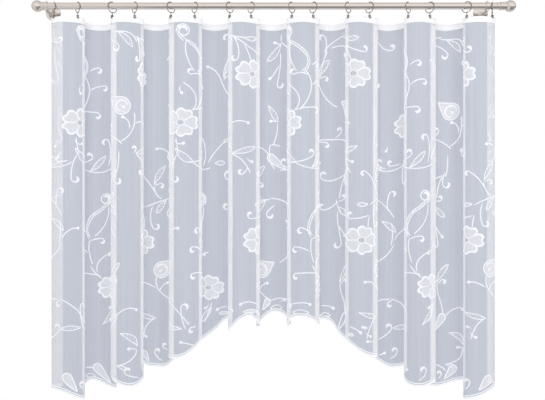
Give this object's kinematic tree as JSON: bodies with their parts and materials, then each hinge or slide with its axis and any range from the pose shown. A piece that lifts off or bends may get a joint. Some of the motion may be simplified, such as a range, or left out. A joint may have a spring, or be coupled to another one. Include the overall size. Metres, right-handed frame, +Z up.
{
  "type": "jacquard curtain on rod",
  "caption": "White jacquard net curtain with an arched hem, hung in waves by clip rings from a round metal rod with ball ends and wall brackets.",
  "frame": {"origin": "on the wall, at the middle of the curtain's width and level with the middles of the two wall flanges", "axes": "+X along the rod, to the right of someone in the room; +Y into the wall; +Z up"},
  "size_m": [2.033, 0.1114, 1.6829],
  "materials": {
    "net": "woven polyester net with a raised white figure",
    "tape": "plain woven white tape",
    "rod_metal": "satin nickel plating",
    "wire_metal": "bright nickel plating"
  },
  "bodies": {
    "root": {"curtain_cloth": "net", "heading_tape": "tape", "rod": "rod_metal", "finial_left": "rod_metal", "bracket_left": "rod_metal", "finial_right": "rod_metal", "bracket_right": "rod_metal", "ring_01": "wire_metal", "clip_01": "wire_metal", "ring_02": "wire_metal", "clip_02": "wire_metal", "ring_03": "wire_metal", "clip_03": "wire_metal", "ring_04": "wire_metal", "clip_04": "wire_metal", "ring_05": "wire_metal", "clip_05": "wire_metal", "ring_06": "wire_metal", "clip_06": "wire_metal", "ring_07": "wire_metal", "clip_07": "wire_metal", "ring_08": "wire_metal", "clip_08": "wire_metal", "ring_09": "wire_metal", "clip_09": "wire_metal", "ring_10": "wire_metal", "clip_10": "wire_metal", "ring_11": "wire_metal", "clip_11": "wire_metal", "ring_12": "wire_metal", "clip_12": "wire_metal", "ring_13": "wire_metal", "clip_13": "wire_metal", "ring_14": "wire_metal", "clip_14": "wire_metal", "ring_15": "wire_metal", "clip_15": "wire_metal", "ring_16": "wire_metal", "clip_16": "wire_metal"}
  },
  "joints": []
}
